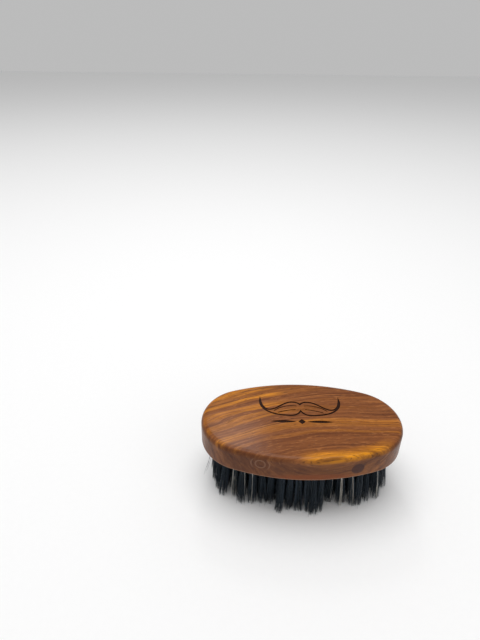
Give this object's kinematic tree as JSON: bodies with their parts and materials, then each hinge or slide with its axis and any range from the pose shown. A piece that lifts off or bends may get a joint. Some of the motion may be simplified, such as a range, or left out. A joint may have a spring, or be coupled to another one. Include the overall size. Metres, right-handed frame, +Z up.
{
  "type": "beard brush",
  "caption": "Oval palm-held beard brush: a one-piece drilled wooden back with staggered rows of dark natural bristle tufts, flat-wire anchored.",
  "frame": {"origin": "on the surface that the brush stands on, tips down, below the middle of the oval back", "axes": "+X along the brush's length, +Y across it, +Z up from the bristle tips to the flat of the back"},
  "size_m": [0.115, 0.064, 0.045],
  "materials": {
    "wood": "satin lacquered reddish-brown hardwood with golden sapwood streaks",
    "bristle": "black natural bristle with a cool sheen and a few pale hairs",
    "anchor_wire": "plain flat wire"
  },
  "bodies": {
    "root": {"wooden_back": "wood", "bristle_row_01": "bristle", "bristle_row_02": "bristle", "bristle_row_03": "bristle", "bristle_row_04": "bristle", "bristle_row_05": "bristle", "bristle_row_06": "bristle", "bristle_row_07": "bristle", "bristle_row_08": "bristle", "bristle_row_09": "bristle", "bristle_row_10": "bristle", "bristle_row_11": "bristle", "anchor_row_01": "anchor_wire", "anchor_row_02": "anchor_wire", "anchor_row_03": "anchor_wire", "anchor_row_04": "anchor_wire", "anchor_row_05": "anchor_wire", "anchor_row_06": "anchor_wire", "anchor_row_07": "anchor_wire", "anchor_row_08": "anchor_wire", "anchor_row_09": "anchor_wire", "anchor_row_10": "anchor_wire", "anchor_row_11": "anchor_wire"}
  },
  "joints": []
}
